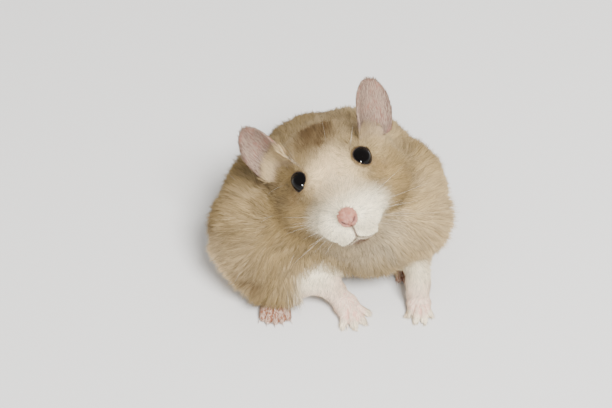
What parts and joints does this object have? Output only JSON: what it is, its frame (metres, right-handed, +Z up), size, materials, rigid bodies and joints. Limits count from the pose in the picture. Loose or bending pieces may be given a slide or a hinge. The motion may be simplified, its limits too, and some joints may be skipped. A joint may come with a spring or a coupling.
{
  "type": "dwarf hamster",
  "caption": "Life-size still model of a sitting dwarf hamster, forepaws on the floor, head raised and tilted to look up.",
  "frame": {"origin": "middle of the base of the box round the whole animal, on the floor", "axes": "+Z up; the chest faces -Y; the animal's left side is +X"},
  "size_m": [0.056, 0.055, 0.0497],
  "materials": {
    "buff_fur": "soft buff and grey fur, matt",
    "pale_fur": "soft whitish fur, matt",
    "paw_fur": "pink skin under short white hair",
    "ear_skin": "thin grey-mauve skin with fine pale hair",
    "nose_skin": "bare pink skin, slightly moist",
    "eye": "black, wet and glossy"
  },
  "bodies": {
    "root": {"trunk": "buff_fur", "neck": "buff_fur", "head": "buff_fur", "nose": "nose_skin", "ear_left": "ear_skin", "ear_right": "ear_skin", "eye_left": "eye", "eye_right": "eye", "foreleg_left": "pale_fur", "foreleg_right": "pale_fur", "forepaw_left": "paw_fur", "forepaw_right": "paw_fur", "hindleg_left": "buff_fur", "hindleg_right": "buff_fur", "hindfoot_left": "paw_fur", "hindfoot_right": "paw_fur", "tail": "buff_fur"}
  },
  "joints": []
}
